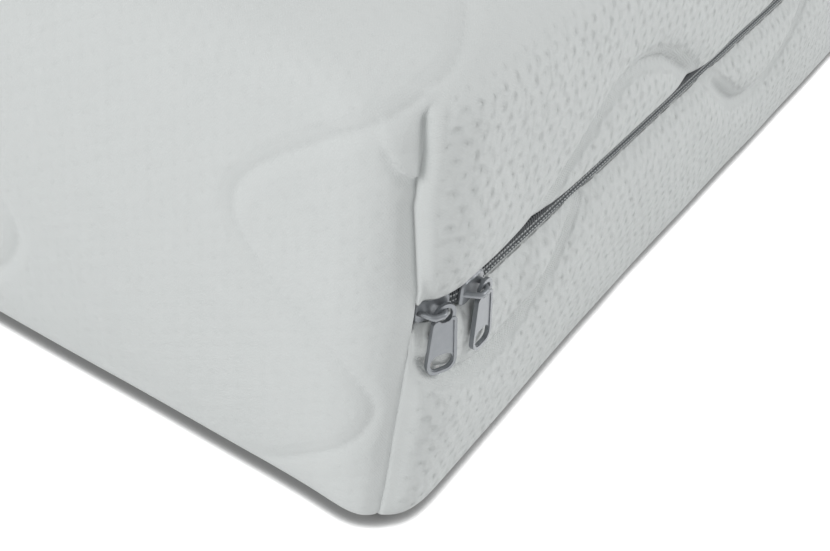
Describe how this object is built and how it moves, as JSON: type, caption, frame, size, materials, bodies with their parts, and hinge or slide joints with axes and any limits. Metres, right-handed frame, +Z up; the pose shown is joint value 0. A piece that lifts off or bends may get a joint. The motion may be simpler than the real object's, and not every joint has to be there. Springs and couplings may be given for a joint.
{
  "type": "memory foam mattress",
  "caption": "Foam mattress in a quilted knit cover with rounded edges and a zip in its sides, closed by two sliders that meet at one corner.",
  "frame": {"origin": "middle of the underside, on the surface the mattress lies on", "axes": "+X across the width, +Y along the length towards the head end, +Z up; the corner with the parked sliders is at +X, -Y"},
  "size_m": [0.9007, 1.9994, 0.16],
  "materials": {
    "quilted_knit": "off-white jacquard knit with small dimples",
    "wadding": "white polyester fibre",
    "backing": "white non-woven",
    "memory_foam": "open-cell viscoelastic foam",
    "support_foam": "open-cell polyurethane foam",
    "zip_tape": "dark grey woven tape",
    "zip_coil": "dark grey nylon coil",
    "zip_metal": "satin grey lacquer on die-cast metal"
  },
  "bodies": {
    "mattress": {"upper_cover_ticking": "quilted_knit", "upper_cover_wadding": "wadding", "upper_cover_backing": "backing", "lower_cover_ticking": "quilted_knit", "lower_cover_wadding": "wadding", "lower_cover_backing": "backing", "memory_foam_layer": "memory_foam", "support_foam_core": "support_foam", "zip_tape_upper": "zip_tape", "zip_tape_lower": "zip_tape", "zip_coil_upper": "zip_coil", "zip_coil_lower": "zip_coil"},
    "slider_a": {"slider_a": "zip_metal"},
    "pull_a": {"pull_a": "zip_metal"},
    "slider_b": {"slider_b": "zip_metal"},
    "pull_b": {"pull_b": "zip_metal"}
  },
  "joints": [
    {"name": "slider_a_travel", "type": "slide", "parent": "mattress", "child": "slider_a", "axis": [0.4061, 0.9138, 0], "range_m": [0, 0.0014]},
    {"name": "slider_b_travel", "type": "slide", "parent": "mattress", "child": "slider_b", "axis": [0, 1, 0], "range_m": [0, 1.92]},
    {"name": "pull_a_swing", "type": "hinge", "parent": "slider_a", "child": "pull_a", "pos_m": [0.44579, -0.97993, 0.0825], "axis": [0.5571, -0.8304, 0], "range_deg": [0, 75]},
    {"name": "pull_b_swing", "type": "hinge", "parent": "slider_b", "child": "pull_b", "pos_m": [0.44856, -0.96334, 0.0825], "axis": [0.8464, -0.5326, 0], "range_deg": [0, 75]}
  ]
}
